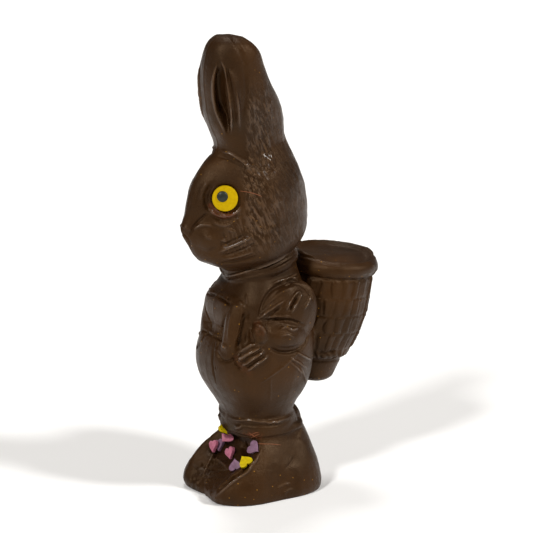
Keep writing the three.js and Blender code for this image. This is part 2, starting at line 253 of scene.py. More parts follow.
carving = {
    "depth": 1.55,  # of every stroke
    "cornerCuts": 3,
    "spacing": 1.5,  # picture points from one spot of a line to the next
    "jump": 6 * mm,  # a line ends where it leaps further than this to a surface behind
    "facing": 0.1,  # only skin that faces the line's way at least this much gets the stroke
    "tiny": 1e-12,
    "taper": (-0.08, 0.22),  # shares of a stroke's length over which it fades in and out
    "polishAndHighlight": (0.25, 1.1),  # millimetres of rise that begin to be polished and to get a painted highlight, and that are wholly so
}


class Surface:  # the chocolate's skin, on which picture points are found
    def __init__(self, piece):
        mesh = piece.data
        corners = [corner.co[:] for corner in mesh.vertices]
        faces = [tuple(face.vertices) for face in mesh.polygons]
        self.tree = BVHTree.FromPolygons(corners, faces)

    def under(self, x, y):
        half = view["size"] / 2
        way = -viewBack + viewRight * (x - half) / view["focal"] - viewUp * (y - half) / view["focal"]
        place, normal, _, _ = self.tree.ray_cast(Vector(lensPoint), Vector(way).normalized())
        return (np.array(place), np.array(normal)) if place else None

    def trace(self, line):  # the spots along a line of picture points and the ways that they face
        hits = [hit for hit in (self.under(x, y) for x, y in rounded(line)) if hit]
        return np.array([spot for spot, _ in hits]), np.array([way for _, way in hits])


def rounded(line):  # a bent line with its corners cut, as evenly spaced points
    points = np.array(line, float)
    for _ in range(carving["cornerCuts"] if len(points) > 2 else 0):
        cut = [points[0]]
        for first, second in zip(points[:-1], points[1:]):
            cut += [0.75 * first + 0.25 * second, 0.25 * first + 0.75 * second]
        points = np.array(cut + [points[-1]])
    steps = np.hypot(*np.diff(points, axis=0).T)
    along = np.concatenate([[0], np.cumsum(steps)])
    count = max(int(along[-1] / carving["spacing"]) + 1, 2)
    spots = np.linspace(0, along[-1], count)
    return np.stack([np.interp(spots, along, points[:, 0]), np.interp(spots, along, points[:, 1])], 1)


def strokePath(surface, line):
    path, ways = surface.trace(line)
    leaps = np.flatnonzero(np.linalg.norm(np.diff(path, axis=0), axis=1) > carving["jump"])
    return path[:leaps[0] + 1] if len(leaps) else path, ways.mean(0)


def carve(points, outward, surface):
    # gives the rise of every point, and apart from it what the raised strokes alone add
    lift, raised = np.zeros(len(points)), np.zeros(len(points))
    fold = np.where(points[:, :1] < 0, (-1, 1, 1), (1, 1, 1))
    for line, wide, rise, *once in (stroke for group in strokes.values() for stroke in group):
        path, facing = strokePath(surface, line)
        here, out = points, outward
        if not once:
            half = -1 if path[:, 0].mean() < 0 else 1
            path = path[path[:, 0] * half > 0] * (half, 1, 1)
            facing = facing * (half, 1, 1)
            here, out = points * fold, outward * fold
        if len(path) < 2:
            continue
        wide *= mm
        low, high = path.min(0) - wide, path.max(0) + wide
        near = np.flatnonzero(((here > low) & (here < high)).all(1) & (out @ facing > carving["facing"]))
        start, step = path[:-1], np.diff(path, axis=0)
        away = here[near][:, None, :] - start
        along = np.clip((away * step).sum(2) / ((step ** 2).sum(1) + carving["tiny"]), 0, 1)
        gaps = np.linalg.norm(away - along[:, :, None] * step, axis=2)
        best = gaps.argmin(1)
        each = np.arange(len(near))
        share = (best + along[each, best]) / len(step)
        fade = ease(np.minimum(share, 1 - share), *carving["taper"])
        added = rise * mm * fade * ease(gaps[each, best], wide, 0.0)
        lift[near] += added
        raised[near] += np.maximum(added, 0.0)
    return lift * carving["depth"], raised * carving["depth"]


strokes = {
    # A stroke is a line of picture points, half its width and its rise in millimetres. It is thrown on the
    # surface from the camera, and the other half of the mould gets it too unless it says once.
    "browAndEye": [
        ([(222, 151), (229, 153), (238, 158), (247, 165), (252, 170)], 1.2, 0.6),
        ([(216, 156), (228, 158), (240, 164), (250, 172)], 1.3, -0.3),
        ([(214, 183), (208, 189), (205, 198), (207, 207), (213, 213)], 1.8, -0.8),
        ([(208, 182), (202, 190), (200, 200)], 2.2, 0.35),
        ([(208, 209), (216, 215), (226, 217), (236, 213), (242, 206)], 1.3, 0.8),
        ([(210, 214), (220, 220), (232, 220), (243, 214)], 1.2, -0.5),
    ],
    "mouthAndNostril": [
        ([(209, 212), (203, 217), (197, 222), (192, 229), (189, 237)], 1.0, -0.75),
        ([(180, 231), (184, 235), (189, 240), (190, 247)], 1.0, -0.6),
        ([(183, 226), (188, 229), (192, 233)], 1.2, 0.35),
    ],
    "whiskerPad": [
        ([(192, 230), (198, 226), (206, 224), (213, 226)], 1.0, 0.6),
        ([(222, 232), (224, 239), (221, 246)], 1.4, -0.4),
        ([(214, 207), (219, 212), (229, 215)], 1.3, 0.6),
        ([(213, 222), (222, 226), (232, 224)], 1.0, 0.5),
        ([(226, 229), (236, 232)], 0.9, 0.4),
        ([(205, 236), (212, 239)], 1.3, 0.4),
        ([(221, 240), (227, 241)], 1.3, 0.5),
    ],
    "cheek": [
        ([(219, 252), (230, 247), (240, 243), (252, 236)], 1.4, 0.7),
        ([(221, 246), (232, 242), (246, 235)], 1.2, -0.6),
        ([(220, 256), (232, 254), (246, 248), (256, 243)], 1.0, -0.6),
        ([(224, 259), (238, 257), (254, 251)], 1.2, 0.5),
        ([(222, 263), (238, 262), (258, 256)], 1.0, -0.5),
    ],
    "ear": [
        ([(221, 60), (227, 75), (231, 94), (232, 112), (231, 133)], 0.9, 1.3),
        ([(236, 90), (238, 102), (239, 116), (239, 131)], 0.8, 0.5),
        ([(231, 36), (236, 44), (241, 54), (246, 66)], 1.2, -0.4),
        ([(236, 36), (242, 46), (248, 60)], 1.5, 0.2),
        ([(243, 66), (247, 82), (246, 100), (242, 118)], 1.6, -0.4),
        ([(220, 66), (219, 86), (221, 106), (226, 128)], 3.2, -2.2),
        ([(221, 100), (224, 116), (229, 133)], 2.2, -1.4),
        ([(217, 62), (213, 78), (213, 97), (217, 115), (226, 134)], 0.9, 0.9),
    ],
    "collarAndShoulder": [
        ([(224, 277), (235, 275), (246, 272), (262, 266), (276, 260), (292, 251)], 1.1, 0.8),
        ([(228, 281), (246, 277), (264, 272), (280, 264), (296, 254)], 1.1, -0.5),
        ([(281, 283), (291, 277), (302, 271)], 1.0, 0.7),
        ([(284, 286), (295, 280), (308, 277)], 1.0, -0.5),
    ],
    "vestAndFly": [
        ([(210, 290), (219, 297), (230, 305)], 0.9, -1.0),
        ([(203, 321), (210, 322), (218, 325)], 0.7, -0.35),
        ([(200, 329), (208, 333), (219, 340)], 0.9, -0.6),
        ([(215, 343), (213, 351), (212, 366), (216, 383)], 0.8, -0.7, "once"),
    ],
    "lapel": [
        ([(230, 306), (225, 315), (222, 328), (220, 340), (217, 348)], 1.0, -0.7),
        ([(246, 312), (244, 325), (242, 336), (238, 350)], 2.4, -1.7),
        ([(217, 352), (221, 361), (230, 362), (237, 354)], 1.1, -0.8),
        ([(232, 312), (229, 326), (228, 340)], 1.1, 0.35),
        ([(222, 345), (227, 348)], 1.8, 0.5),
        ([(246, 294), (247, 306)], 0.7, 0.3),
        ([(239, 301), (246, 309)], 0.8, 0.4),
    ],
    "upperArm": [
        ([(259, 318), (262, 303), (270, 291), (282, 283), (294, 279), (306, 280), (315, 288)], 1.3, -0.8),
        ([(263, 320), (266, 308), (273, 299), (283, 291), (296, 286)], 1.4, 0.35),
        ([(272, 284), (286, 278), (302, 279), (313, 288), (318, 303), (318, 318)], 0.8, 0.6),
        ([(276, 289), (288, 283), (301, 284), (310, 293), (314, 305)], 1.0, -0.4),
        ([(286, 311), (290, 302), (295, 294), (300, 291)], 0.7, 1.0),
        ([(289, 311), (293, 304), (297, 297)], 0.6, -1.1),
        ([(291, 313), (296, 305), (300, 297), (301, 292)], 0.6, 0.9),
        ([(304, 309), (308, 302), (310, 296)], 0.6, 0.9),
        ([(257, 320), (265, 313), (274, 307), (284, 301)], 0.8, 1.1),
        ([(264, 320), (273, 313), (281, 307)], 0.7, -0.8),
        ([(262, 312), (270, 304), (276, 299)], 0.7, -0.5),
    ],
    "forearm": [
        ([(262, 321), (276, 319), (292, 320), (304, 325)], 0.9, -1.0),
        ([(262, 318), (276, 316), (292, 317)], 0.7, 0.5),
        ([(280, 330), (286, 327), (291, 331), (298, 328)], 0.7, 0.9),
        ([(280, 336), (287, 334), (294, 337)], 0.6, 0.6),
        ([(268, 347), (280, 353), (295, 352), (305, 345), (309, 334)], 1.3, -1.0),
    ],
    "cuff": [
        ([(252, 323), (250, 332), (254, 342)], 1.0, -0.5),
        ([(267, 322), (268, 331)], 0.8, -0.5),
        ([(255, 324), (262, 327), (266, 334)], 1.2, 0.6),
        ([(258, 333), (260, 340)], 1.6, -0.4),
    ],
    "fingers": [
        ([(256, 344), (247, 349), (237, 356)], 1.0, 1.2),
        ([(260, 347), (250, 353), (238, 361)], 1.0, 1.3),
        ([(264, 351), (254, 357), (242, 366)], 1.0, 1.2),
        ([(268, 356), (259, 362), (247, 371)], 1.0, 0.9),
        ([(257, 346), (248, 352), (237, 359)], 0.6, -0.35),
        ([(262, 349), (252, 355), (240, 364)], 0.6, -0.4),
        ([(266, 354), (257, 360), (244, 369)], 0.6, -0.35),
        ([(232, 357), (236, 364), (242, 371)], 0.8, -0.6),
    ],
    "jacketEdge": [
        ([(300, 351), (287, 364), (272, 375), (259, 384)], 0.8, 0.3),
        ([(290, 358), (298, 362), (306, 368)], 0.7, 0.8),
        ([(296, 352), (303, 356), (311, 360)], 0.8, 1.0),
        ([(289, 361), (296, 367), (302, 374)], 0.8, 0.6),
        ([(299, 366), (304, 375), (306, 384)], 0.8, 0.5),
        ([(270, 378), (271, 388), (270, 400)], 0.5, 0.25),
    ],
    "basketFoot": [
        ([(315, 320), (313, 333), (316, 348)], 1.5, -0.7),
        ([(319, 352), (327, 354), (336, 350)], 1.1, -0.6),
        ([(322, 359), (330, 360), (338, 355)], 0.9, -0.5),
    ],
    "hem": [
        ([(231, 418), (239, 420), (250, 419), (262, 422), (278, 421), (288, 417)], 1.1, 0.6),
        ([(231, 422), (241, 424), (257, 426), (278, 425), (288, 421)], 1.0, -0.5),
        ([(266, 424), (272, 422), (279, 423)], 1.4, 0.6),
        ([(236, 428), (243, 426)], 1.6, 0.5),
    ],
    "feet": [
        ([(260, 452), (255, 463), (249, 471), (239, 478), (228, 486), (217, 496)], 0.8, 1.2, "once"),
        ([(249, 464), (240, 473), (228, 481), (217, 490)], 1.2, -1.2, "once"),
        ([(243, 443), (245, 450), (248, 459)], 3.0, -2.4, "once"),
        ([(214, 453), (209, 464), (203, 476)], 0.9, 0.8, "once"),
        ([(218, 450), (214, 462), (208, 474)], 1.0, -0.7, "once"),
        ([(223, 424), (229, 436), (226, 450)], 1.0, 0.6, "once"),
        ([(297, 453), (291, 463), (285, 470)], 0.7, -0.22, "once"),
        ([(211, 458), (220, 461), (228, 468)], 1.2, 0.5, "once"),
        ([(208, 469), (218, 471), (228, 470)], 1.0, -0.6, "once"),
        ([(277, 489), (284, 484), (291, 484)], 0.8, 0.35, "once"),
        ([(283, 494), (289, 489), (295, 490)], 0.7, 0.3, "once"),
    ],
}


hashing = {"factors": (127.1, 311.7, 74.7), "scale": 43758.5453}


def hashOf(*grids):  # a repeatable pick from 0 to 1 for whole numbers
    total = sum(grid * factor for grid, factor in zip(grids, hashing["factors"]))
    value = np.sin(total) * hashing["scale"]
    return value - np.floor(value)


def lumps(*axes):  # smooth noise from -1 to 1
    floors = [np.floor(axis) for axis in axes]
    parts = [ease(axis - base, 0.0, 1.0) for axis, base in zip(axes, floors)]
    total = np.zeros(len(axes[0]))
    for corner in range(2 ** len(axes)):
        bits = [(corner >> place) & 1 for place in range(len(axes))]
        weight = np.ones(len(total))
        for bit, part in zip(bits, parts):
            weight = weight * (part if bit else 1 - part)
        total += weight * hashOf(*[base + bit for base, bit in zip(floors, bits)])
    return total * 2 - 1


def scaledLumps(axes, sizes, shifts=(0, 0, 0)):
    return lumps(*[axis / size + shift for axis, size, shift in zip(axes, sizes, shifts)])


def zone(values, start, full, stillFull, end):  # 0 outside start and end, 1 from full to stillFull
    return ease(values, start, full) * ease(values, end, stillFull)


# lengths are in millimetres, and heights go along the basket's leaning axis
basket = {
    "foot": (0.0, 34.4, 49.8),
    "lean": 6.0,  # degrees
    "slant": 0.09,  # how far each ring is set back for its height
    "rows": [17.0, 26.0, 35.0, 44.0, 52.5],
    "rowsFade": (0.6, 0.6, 0.8, 0.6),  # below and above the lowest row's foot and the highest row's top
    "blocks": 25,
    "blockRise": 0.31,
    "blockSizes": (0.35, 0.95),  # the least, and how much more at most
    "blockHeight": (1.2, 0.6),  # of a block, and how deep the gaps are set
    "blockSides": (0.98, 0.62),  # shares of half a block, from its middle
    "blockUp": (0.0, 0.16, 0.9, 1.02),  # shares of a row
    "ledgeHeight": 0.5,
    "ledgeSides": (1.0, 0.5),
    "ledgeUp": (0.7, 0.95, 0.96, 1.02),
    "uneven": 0.22,  # share of a block by which a column wanders
    "unevenSize": (5.0, 0.25),  # up and, in radians, round
    "facing": (0.2, 0.55),  # only what faces away from the basket's axis is woven
    "leastRadius": 9.0,
    "front": 22.0,  # the wall begins this far back
    "wornWall": (15.0, 18.0, 51.0, 54.0),
    "wornRadius": (12.0, 14.0, 24.0, 26.0),
    "wornFront": 20.0,
    "wornRounds": 30,
    "wornShare": (0.55, 0.45),  # all over, and in patches
    "wornSize": (0.25, 7.0),
    "hoopFoot": {"at": 11.2, "reach": 1.0, "depth": 0.7},
    "hoop": {"at": 14.4, "reach": (2.4, 0.4), "rise": 0.25},
    "twist": {"rise": 0.3, "turns": 30, "slope": 1.2, "uneven": 1.5, "size": (0.2, 3.0)},  # of the hoop
    "throat": {"at": 53.6, "reach": 1.1, "depth": 0.9},
    "rim": {"at": 57.6, "reach": (3.8, 0.4)},
    "lip": {"at": 62.4, "reach": 1.0, "depth": 0.5},
    "ribs": [41.0, 50.0],  # degrees round from the left side to the back
    "ribHalf": (0.9, 0.1),
    "ribRise": 0.7,
    "ribUp": (15.0, 19.0, 54.0, 60.0),
    "sag": 3.0,  # how far the rim has sunk on the left
    "sagUp": (55.5, 61.0),
    "sagSide": (1.0, 15.0),
    "sagRadius": (26.0, 23.5),
}


def basketCoordinates(points):  # the angle round the basket, the distance from its axis and the height
    lean = math.radians(basket["lean"])
    x, y, z = (points / mm - np.array(basket["foot"])).T
    up = y * math.sin(lean) + z * math.cos(lean)
    back = y * math.cos(lean) - z * math.sin(lean) - basket["slant"] * up
    return np.arctan2(back, x), np.hypot(x, back), up


def wornWeave(points):  # where the weave came out of the mould weakly
    angle, radius, up = basketCoordinates(points)
    wall = zone(up, *basket["wornWall"]) * zone(radius, *basket["wornRadius"])
    evenly, inPatches = basket["wornShare"]
    share = evenly + inPatches * scaledLumps((angle, up), basket["wornSize"])
    return wall * (points[:, 1] > basket["wornFront"] * mm) * share


def sunkenRim(points):
    _, radius, up = basketCoordinates(points)
    near = ease(up, *basket["sagUp"]) * ease(points[:, 0] / mm, *basket["sagSide"])
    points[:, 2] -= basket["sag"] * mm * near * ease(radius, *basket["sagRadius"])
    return points


def weaveBlocks(angle, up):
    # rows of tall rounded blocks, each row shifted by half a block from the one below
    rows = np.array(basket["rows"])
    row = np.clip(np.searchsorted(rows, up) - 1, 0, len(rows) - 2)
    level = (up - rows[row]) / (rows[row + 1] - rows[row])
    across = angle / (2 * math.pi) * basket["blocks"] + 0.5 * row + 0.5
    across += basket["uneven"] * scaledLumps((up, angle), basket["unevenSize"])
    middle = np.abs(across - np.floor(across) - 0.5) * 2  # 0 in the middle of a block and 1 at its sides
    block = ease(middle, *basket["blockSides"]) * zone(level, *basket["blockUp"])
    ledge = ease(middle, *basket["ledgeSides"]) * zone(level, *basket["ledgeUp"])
    least, more = basket["blockSizes"]
    size = least + more * hashOf(np.floor(across), row)
    high, gap = basket["blockHeight"]
    below, above, under, over = basket["rowsFade"]
    inside = zone(up, rows[0] - below, rows[0] + above, rows[-1] - under, rows[-1] + over)
    return (block * high - gap + basket["ledgeHeight"] * ledge) * size * inside * basket["blockRise"]


def groove(up, place):
    return -place["depth"] * ease(np.abs(up - place["at"]), place["reach"], 0.0)


def weave(points, outward):
    angle, radius, up = basketCoordinates(points)
    rim, hoop, twist = basket["rim"], basket["hoop"], basket["twist"]
    rise = weaveBlocks(angle, up) + ease(np.abs(up - rim["at"]), *rim["reach"])
    rise += groove(up, basket["lip"]) + groove(up, basket["throat"]) + groove(up, basket["hoopFoot"])
    turned = angle * twist["turns"] + up * twist["slope"]
    turned += twist["uneven"] * scaledLumps((angle, up), twist["size"])
    rise += ease(np.abs(up - hoop["at"]), *hoop["reach"]) * (hoop["rise"] + twist["rise"] * np.sin(turned))
    sideways = np.arctan2(np.sin(angle), np.abs(np.cos(angle)))
    for at in basket["ribs"]:
        fromRib = np.abs(sideways - math.radians(at)) * radius
        rise += basket["ribRise"] * ease(fromRib, *basket["ribHalf"]) * zone(up, *basket["ribUp"])
    out = outward[:, 0] * np.cos(angle) + outward[:, 1] * np.sin(angle)
    wall = (radius > basket["leastRadius"]) & (points[:, 1] > basket["front"] * mm)
    return rise * ease(out, *basket["facing"]) * wall * mm


# millimetres, back from the rabbit's middle and up from the ground
pelt = {
    "slope": 0.4,  # how far a strand goes back for each millimetre down
    "wave": 1.2,
    "waveLength": (9.0, 7.0),  # back and up
    # the sizes of the tufts as they go back, up and round the head
    "strand": (2.2, 6.5, 6.0),
    "fine": (1.3, 4.0, 4.0),
    "clump": (5.0, 12.0, 9.0),
    "strandRise": 0.42,
    "fineRise": 0.3,
    "cheekRise": 0.14,
    "earFoot": 165.0,
    "earFront": (-11.0, -8.0),
    "headFront": (-14.5, -10.0),
    "bandBack": (6.0, 1.5),
    "bandUp": (120.0, 132.0, 190.0, 208.0),
    "bandSide": (1.5, 5.0),
    "clumpShare": (0.35, 0.65),  # of the band, all over and in clumps
    "backShare": 0.3,  # how high the back of the head's fur is beside the band's
    "backFront": (-4.0, 4.0),
    "backUp": (118.0, 128.0, 176.0, 200.0),
    "backSide": (1.0, 4.0),
    "cheekBack": (-25.0, -16.0, -6.0, 4.0),
    "cheekUp": (120.0, 126.0, 136.0, 146.0),
    "furryBack": 0.2,  # how furry the back of the head and the cheeks look beside the band
    "furryCheek": 0.4,
}


def fur(points):
    # wavy tufts from the ears down to the neck, a smoother back of the head and faint hair on the cheeks;
    # gives the rise and how furry each point is
    x, y, z = (points / mm).T
    side = np.abs(x)
    waveBack, waveUp = pelt["waveLength"]
    bent = y + z * pelt["slope"] + pelt["wave"] * np.sin(z / waveUp + y / waveBack)
    axes = (bent, z, side)
    strand = 1 - 2 * np.abs(scaledLumps(axes, pelt["strand"]))
    fine = 1 - 2 * np.abs(scaledLumps(axes, pelt["fine"], (5, 0, 7)))
    clump = 0.5 + 0.5 * scaledLumps(axes, pelt["clump"], (3, 0, 0))
    front = np.where(z > pelt["earFoot"], ease(y, *pelt["earFront"]), ease(y, *pelt["headFront"]))
    evenly, inClumps = pelt["clumpShare"]
    band = front * ease(y, *pelt["bandBack"]) * zone(z, *pelt["bandUp"])
    band = band * (evenly + inClumps * clump) * ease(side, *pelt["bandSide"])
    back = ease(y, *pelt["backFront"]) * zone(z, *pelt["backUp"])
    cheek = zone(y, *pelt["cheekBack"]) * zone(z, *pelt["cheekUp"])
    hair = pelt["strandRise"] * strand + pelt["fineRise"] * fine
    rise = hair * (band + pelt["backShare"] * back * ease(side, *pelt["backSide"]))
    rise += cheek * pelt["cheekRise"] * strand
    furry = np.maximum(np.maximum(band, pelt["furryBack"] * back), pelt["furryCheek"] * cheek)
    return rise * mm, furry


ground = {
    # where it lies in millimetres: to both sides, back from the rabbit's middle and up
    "floorSide": (17.0, 9.0),
    "floorBack": (-8.0, -13.0),
    "floorUp": (22.0, 12.0),
    "up": (0.5, 3.0, 20.0, 34.0),
    # the sizes of the lumps and how far they stand out, in millimetres
    "grain": (1.5, 1.5, 1.5),
    "fineGrain": (0.9, 0.9, 0.9),
    "fineShare": 0.6,
    "swell": (8.0, 8.0, 8.0),
    "floorRise": 0.32,
    "swellRise": 0.12,
    "grainRise": 0.05,
    "body": [((3.0, 3.0, 3.5), 0.08), ((8.0, 8.0, 10.0), 0.12)],
}


def unevenSkin(points):
    # the broken floor between the feet, the uneven ground round them and a body that isn't quite even
    x, y, z = axes = (points / mm).T
    floor = ease(np.abs(x), *ground["floorSide"]) * ease(y, *ground["floorBack"])
    floor = floor * ease(z, *ground["floorUp"])
    grain = scaledLumps(axes, ground["grain"])
    grain += ground["fineShare"] * scaledLumps(axes, ground["fineGrain"], (9, 0, 0))
    swell = ground["swellRise"] * scaledLumps(axes, ground["swell"])
    rise = sum(high * scaledLumps(axes, sizes) for sizes, high in ground["body"])
    rise += floor * ground["floorRise"] * grain
    return (rise + zone(z, *ground["up"]) * (swell + ground["grainRise"] * grain)) * mm


hem = {  # millimetres
    "foot": 30.3,
    "top": 38.5,
    "rise": 0.6,
    "undercut": 0.6,
    "footFade": (0.6, 0.8),  # below and above the band's foot
    "topFade": (1.2, 1.2),
    "underUp": (-8.0, -1.2, -0.8, 0.4),  # from the band's foot
    "wobble": 0.7,
    "wobbleSize": (0.4, 20.0),  # in radians round, and up
    "within": 23.0,  # of the trousers' middle
    "middle": 2.0,
    "upright": (0.55, 0.8),  # only what stands upright gets the band
}


def trouserHem(points, outward):
    x, y, z = (points / mm).T
    wobble = hem["wobble"] * scaledLumps((np.arctan2(y, x), z), hem["wobbleSize"])
    fromFoot, fromTop = z - hem["foot"] - wobble, z - hem["top"] - wobble
    (below, above), (under, over) = hem["footFade"], hem["topFade"]
    band = ease(fromFoot, -below, above) * ease(fromTop, over, -under)
    wall = ease(np.hypot(outward[:, 0], outward[:, 1]), *hem["upright"])
    wall = wall * (np.hypot(x, y - hem["middle"]) < hem["within"])
    return wall * (hem["rise"] * band - hem["undercut"] * zone(fromFoot, *hem["underUp"])) * mm


flash = {  # millimetres
    "half": 0.75,
    "rise": 0.35,
    "faint": 0.35,  # share that is left of it on the front of the coat
    "chin": (108.0, 118.0),
    "up": (1.0, 4.0),
    "level": (0.98, 0.9),  # it fades where the skin lies level
    "uneven": (0.7, 0.3),  # all along it, and in lumps
    "unevenSize": (4.0, 4.0),
}


def seam(points, outward):
    # the flash where the two halves of the mould met
    x, y, z = (points / mm).T
    evenly, inLumps = flash["uneven"]
    coat = flash["faint"] + (1 - flash["faint"]) * ease(z, *flash["chin"])
    share = ease(z, *flash["up"]) * ease(np.abs(outward[:, 2]), *flash["level"])
    share = share * np.where(y < 0, coat, 1.0)
    share = share * (evenly + inLumps * scaledLumps((y, z), flash["unevenSize"]))
    return ease(np.abs(x), flash["half"], 0.0) * flash["rise"] * share * mm


calming = {"share": 0.7, "least": 0.01, "full": 0.5}  # of the way, of an amount, of a spot's reach


def calm(piece, points, amount, rounds):  # evens out the skin where amount is 1, and not where it is 0
    pairs = np.empty(len(piece.data.edges) * 2, np.int32)
    piece.data.edges.foreach_get("vertices", pairs)
    pairs = pairs.reshape(-1, 2)
    chosen = amount > calming["least"]
    pairs = pairs[chosen[pairs[:, 0]] | chosen[pairs[:, 1]]]
    ends = np.concatenate([pairs[:, 0], pairs[:, 1]])
    others = np.concatenate([pairs[:, 1], pairs[:, 0]])
    count = np.maximum(np.bincount(ends, minlength=len(points)), 1)
    for _ in range(rounds):
        mean = [np.bincount(ends, points[others, axis], len(points)) / count for axis in range(3)]
        points = points + (np.stack(mean, 1) - points) * (calming["share"] * amount)[:, None]
    return points


vest = {  # millimetres, and rounds of smoothing
    "across": (-26.0, -20.0, 6.0, 9.0),
    "front": (-7.0, -11.0),
    "up": (66.0, 72.0, 95.0, 100.0),
    "rounds": 25,
}


def vestFront(points):  # where the vest's smooth front lies between the lapels
    x, y, z = (points / mm).T
    return zone(x, *vest["across"]) * ease(y, *vest["front"]) * zone(z, *vest["up"])


calmSpots = {
    # a picture point, the millimetres round it and the rounds of smoothing
    "shirt": (236, 290, 4.0, 8),
    "shirtSide": (247, 290, 5.0, 25),
    "lapelHollow": (243, 330, 4.0, 25),
    "lapelHollowFoot": (240, 343, 4.0, 25),
    "browFront": (217, 149, 9.0, 90),
    "browMiddle": (230, 156, 7.0, 40),
    "browBack": (246, 165, 7.0, 30),
    "earTop": (229, 74, 7.0, 50),
    "earUpper": (232, 90, 7.0, 50),
    "earLower": (231, 108, 6.0, 25),
    "earFoot": (229, 128, 6.0, 25),
    "leftFoot": (292, 460, 11.0, 50),
    "rightFoot": (194, 472, 8.0, 20),
    "whiskerPad": (206, 238, 6.0, 12),
    "forearm": (266, 334, 4.0, 20),
    "fingers": (253, 356, 8.0, 40),
    "hemFoot": (250, 446, 5.0, 10),
}


def calmAll(piece, points):
    surface = Surface(piece)
    for x, y, reach, rounds in calmSpots.values():
        spot, _ = surface.under(x, y)
        away = points - spot
        away[:, 0] = np.abs(points[:, 0]) - abs(spot[0])
        amount = ease(np.linalg.norm(away, axis=1), reach * mm, calming["full"] * reach * mm)
        points = calm(piece, points, amount, rounds)
    points = calm(piece, points, wornWeave(points), basket["wornRounds"])
    return calm(piece, points, vestFront(points), vest["rounds"])


stainCore = 0.3  # share of a stain's reach that is coloured most
stains = {
    # a line of picture points, millimetres to either side and how strong
    "underEye": ([(211, 206), (215, 213), (224, 217), (233, 214)], 2.0, 1.0),
    "eyeCorner": ([(214, 210), (222, 214)], 2.4, 0.9),
    "cuff": ([(257, 324), (261, 333)], 3.0, 0.35),
    "fingers": ([(236, 358), (243, 368), (249, 373)], 2.4, 0.25),
    "hem": ([(246, 433), (259, 436)], 2.4, 0.7),
}


def stained(points, surface):
    amount = np.zeros(len(points))
    for line, reach, strength in stains.values():
        reach *= mm
        path, _ = surface.trace(line)
        near = np.flatnonzero(((points > path.min(0) - reach) & (points < path.max(0) + reach)).all(1))
        gap = np.linalg.norm(points[near][:, None, :] - path, axis=2).min(1)
        amount[near] = np.maximum(amount[near], strength * ease(gap, reach, stainCore * reach))
    return amount


def keepLayer(piece, name, values):
    layer = piece.data.attributes.new(name, "FLOAT", "POINT")
    layer.data.foreach_set("value", values.astype(np.float32))


def buildChocolate():
    piece = copyNode("chocolate_rabbit", "chocolateRabbit")
    applyModifier(piece, "REMESH", mode="VOXEL", voxel_size=chocolate["voxel"], adaptivity=0.0)
    setPlaces(piece, flattenUnderHearts(sunkenRim(places(piece))))
    applyModifier(piece, "SMOOTH", factor=chocolate["smoothing"], iterations=chocolate["firstRounds"])
    setPlaces(piece, calmAll(piece, places(piece)))
    points, outward = places(piece), normals(piece)
    surface = Surface(piece)
    lift, raised = carve(points, outward, surface)
    furRise, furry = fur(points)
    lift += weave(points, outward) + furRise + unevenSkin(points) + seam(points, outward)
    lift += trouserHem(points, outward)
    # the raised strokes are polished, and the material also gives them a painted highlight
    keepLayer(piece, "raised", ease(raised / mm, *carving["polishAndHighlight"]))
    # how furry a point is also sets painted shade between the hairs and a painted highlight on them
    keepLayer(piece, "furry", furry)
    keepLayer(piece, "stained", stained(points, surface))
    lift *= ease(points[:, 2], 0.0, chocolate["firmFoot"])
    points = clearOfEyes(points + outward * lift[:, None])
    setPlaces(piece, np.clip(points, *np.array(cadBox)))
    applyModifier(piece, "SMOOTH", factor=chocolate["smoothing"], iterations=chocolate["lastRounds"])
    count = sum(len(face.vertices) - 2 for face in piece.data.polygons)
    if count > chocolate["triangles"]:
        applyModifier(piece, "DECIMATE", ratio=chocolate["triangles"] / count)
    makeActive(piece)
    bpy.ops.object.shade_smooth()
    return piece


# candy: two eyes with pupils, and the heart sprinkles

eyes = {
    "across": 12.0 * mm,
    "thick": 3.0 * mm,
    "at": (12.6 * mm, -21.4 * mm, 149.4 * mm),
    "looks": (0.85, -0.5, 0.14),
    "facets": 72,
    # its crown, as steps inwards in shares of the radius and up in millimetres
    "crown": [(0.08, 0.1), (0.1, 0.1), (0.16, 0.08), (0.2, 0.02), (0.2, 0.0)],
    "edge": 0.45 * mm,
    "edgeSteps": 4,
    "sharp": math.radians(40),
    "pupilAcross": 5.2 * mm,
    "pupilShift": (-1.2 * mm, 1.0 * mm, 1.75 * mm),
    "pupilFacets": (40, 20),
    "pupilFlat": 0.4,
    "pupilCut": 0.3 * mm,  # below its middle
    "gap": 0.35 * mm,  # round the disc in the chocolate
    "gapUnder": 0.2 * mm,
    "gapReach": 5 * mm,
}

hearts = {
    "across": 6.8 * mm,
    "thick": 1.5 * mm,
    "sink": 0.5 * mm,
    "facets": 40,
    # its curve, in units of its own
    "curveAcross": 32,
    "waves": (13.0, -4.4, -1.6, -0.6),
    "middle": 1.5,
    "edge": 0.5 * mm,
    "edgeSteps": 4,
    "sharp": math.radians(50),
    # the lump in the copied mesh, as a share of the heart's half width and from the heart's place
    "lumpReach": 1.25,
    "lumpTop": 2 * mm,
    "lumpUnder": 0.5 * mm,
    # where each lies in millimetres, the way it faces, its turn in degrees and its colour
    "list": [
        ((-3.8, -12.6, 30.0), (0.73, 0.2, 0.66), 11, "yellow"),
        ((-6.2, -10.3, 24.6), (0.71, -0.54, 0.45), -41, "pink"),
        ((-12.3, -13.8, 18.9), (-0.05, -0.97, 0.23), 23, "pink"),
        ((-11.4, -11.2, 19.3), (0.11, -0.94, 0.31), 26, "purple"),
        ((0.4, -11.9, 18.8), (0.02, -0.97, 0.24), 32, "pink"),
        ((11.5, -15.4, 16.5), (0.4, -0.76, 0.51), -157, "purple"),
        ((17.7, -13.8, 20.0), (0.48, -0.52, 0.7), -137, "yellow"),
        ((16.6, -8.3, 25.4), (0.29, -0.87, 0.39), 71, "purple"),
    ],
}


